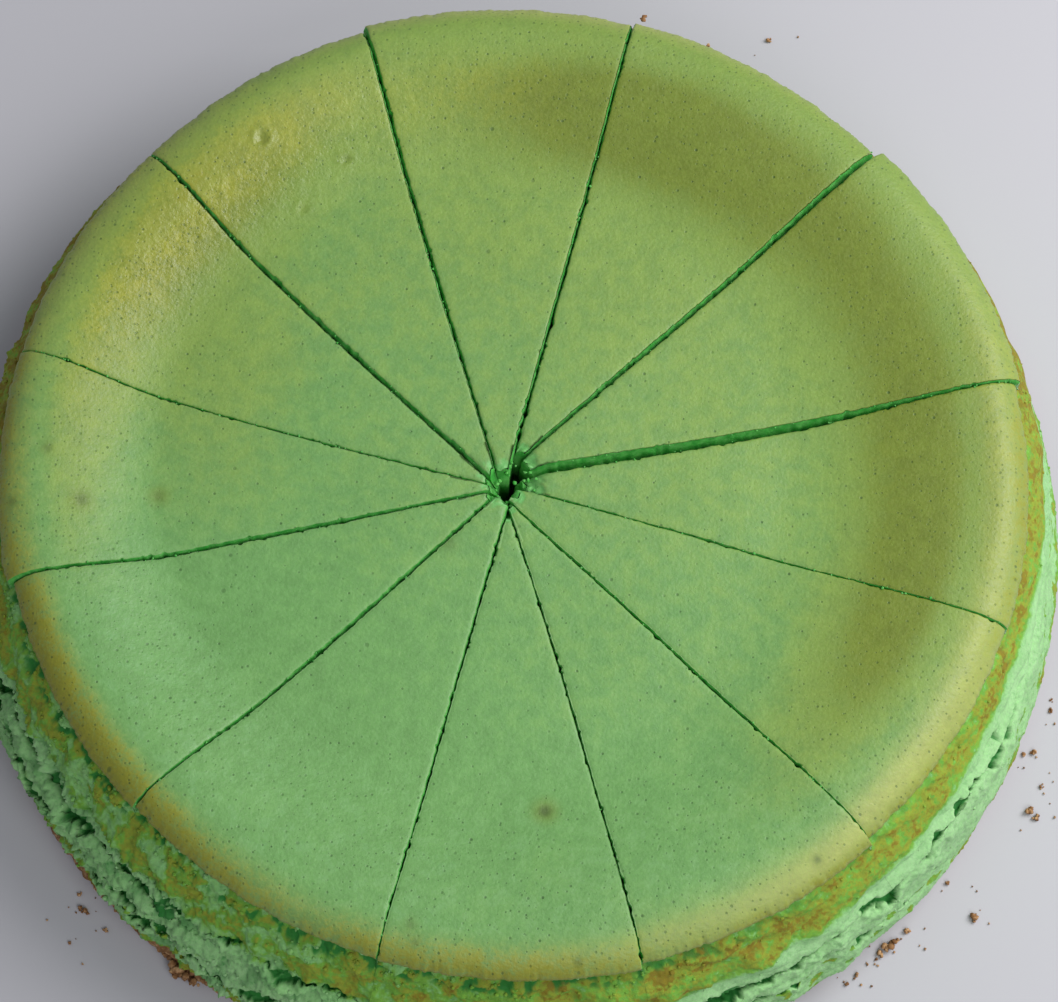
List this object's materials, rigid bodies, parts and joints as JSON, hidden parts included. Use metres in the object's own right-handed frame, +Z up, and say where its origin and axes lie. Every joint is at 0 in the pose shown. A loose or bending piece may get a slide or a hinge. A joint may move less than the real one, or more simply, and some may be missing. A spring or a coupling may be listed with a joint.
{
  "type": "cheesecake",
  "caption": "Round baked cheesecake with green filling, a dished top and rolled rim, a torn outer wall and a crumb base, cut into slices that still stand together.",
  "frame": {"origin": "under the middle of the cake, on the surface that it stands on", "axes": "+Z up, through the flat underside towards the dished top; -Y towards the picture's viewer, +X to the right"},
  "size_m": [0.2539, 0.2542, 0.0488],
  "materials": {
    "green_filling": "satin baked skin, green with a golden rim, over moist torn crumb",
    "biscuit_crumb": "dull brown pressed biscuit crumb"
  },
  "bodies": {
    "root": {"slice_01_filling": "green_filling", "slice_01_base": "biscuit_crumb", "slice_02_filling": "green_filling", "slice_02_base": "biscuit_crumb", "slice_03_filling": "green_filling", "slice_03_base": "biscuit_crumb", "slice_04_filling": "green_filling", "slice_04_base": "biscuit_crumb", "slice_05_filling": "green_filling", "slice_05_base": "biscuit_crumb", "slice_06_filling": "green_filling", "slice_06_base": "biscuit_crumb", "slice_07_filling": "green_filling", "slice_07_base": "biscuit_crumb", "slice_08_filling": "green_filling", "slice_08_base": "biscuit_crumb", "slice_09_filling": "green_filling", "slice_09_base": "biscuit_crumb", "slice_10_filling": "green_filling", "slice_10_base": "biscuit_crumb", "slice_11_filling": "green_filling", "slice_11_base": "biscuit_crumb", "slice_12_filling": "green_filling", "slice_12_base": "biscuit_crumb"}
  },
  "joints": []
}
